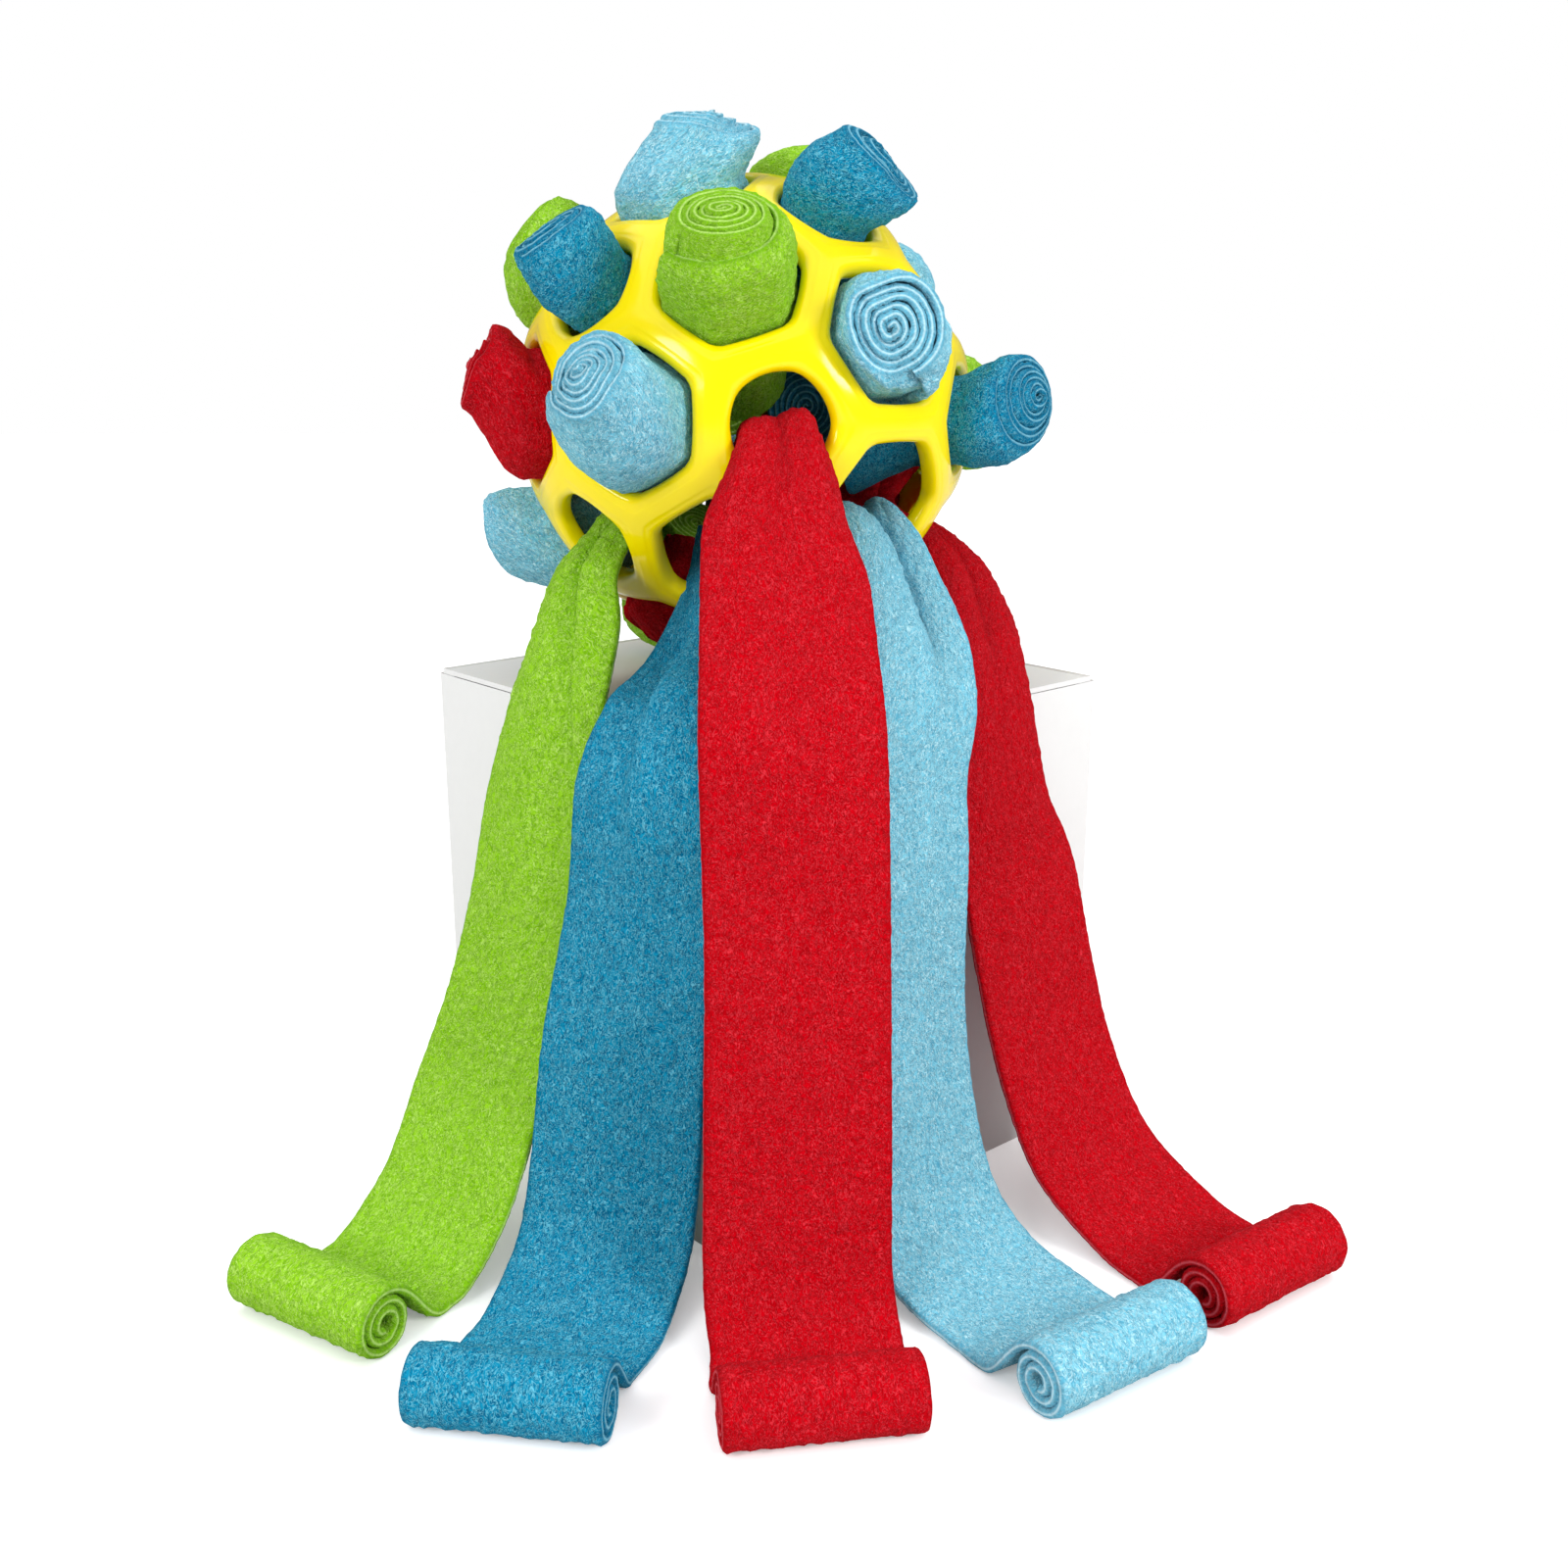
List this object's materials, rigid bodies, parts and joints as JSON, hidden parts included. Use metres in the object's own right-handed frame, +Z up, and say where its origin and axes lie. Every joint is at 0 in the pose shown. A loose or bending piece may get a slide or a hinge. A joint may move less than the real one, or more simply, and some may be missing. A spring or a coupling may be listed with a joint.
{
  "type": "snuffle ball toy on display box",
  "caption": "Hollow lattice ball with fleece strips rolled into its holes and long fleece strips hanging from it over a plain card box, for hiding dog treats.",
  "frame": {"origin": "centre of the box's underside, on the table", "axes": "+Z up, -Y to the front with the hanging strips, +X to the viewer's right"},
  "size_m": [0.2697, 0.2608, 0.279],
  "materials": {
    "yellow_plastic": "glossy moulded soft plastic",
    "red_fleece": "napped fleece",
    "green_fleece": "napped fleece",
    "blue_fleece": "napped fleece",
    "sky_fleece": "napped fleece",
    "card": "plain white card"
  },
  "bodies": {
    "root": {"display_box": "card", "ball_lattice": "yellow_plastic", "roll_sky_10": "sky_fleece", "roll_sky_13": "sky_fleece", "roll_green_14": "green_fleece", "roll_blue_20": "blue_fleece", "roll_blue_21": "blue_fleece", "roll_red_22": "red_fleece", "roll_blue_24": "blue_fleece", "roll_red_32": "red_fleece", "roll_red_33": "red_fleece", "roll_sky_34": "sky_fleece", "roll_green_40": "green_fleece", "roll_green_41": "green_fleece", "roll_blue_42": "blue_fleece", "roll_sky_43": "sky_fleece", "roll_green_44": "green_fleece", "roll_sky_50": "sky_fleece", "roll_red_51": "red_fleece", "roll_green_52": "green_fleece", "roll_blue_53": "blue_fleece", "roll_blue_54": "blue_fleece", "roll_red_60": "red_fleece", "roll_blue_61": "blue_fleece", "roll_sky_62": "sky_fleece", "roll_red_63": "red_fleece", "roll_sky_64": "sky_fleece", "roll_green_70": "green_fleece", "strip_green": "green_fleece", "strip_blue": "blue_fleece", "strip_red_front": "red_fleece", "strip_sky": "sky_fleece", "strip_red_side": "red_fleece"}
  },
  "joints": []
}
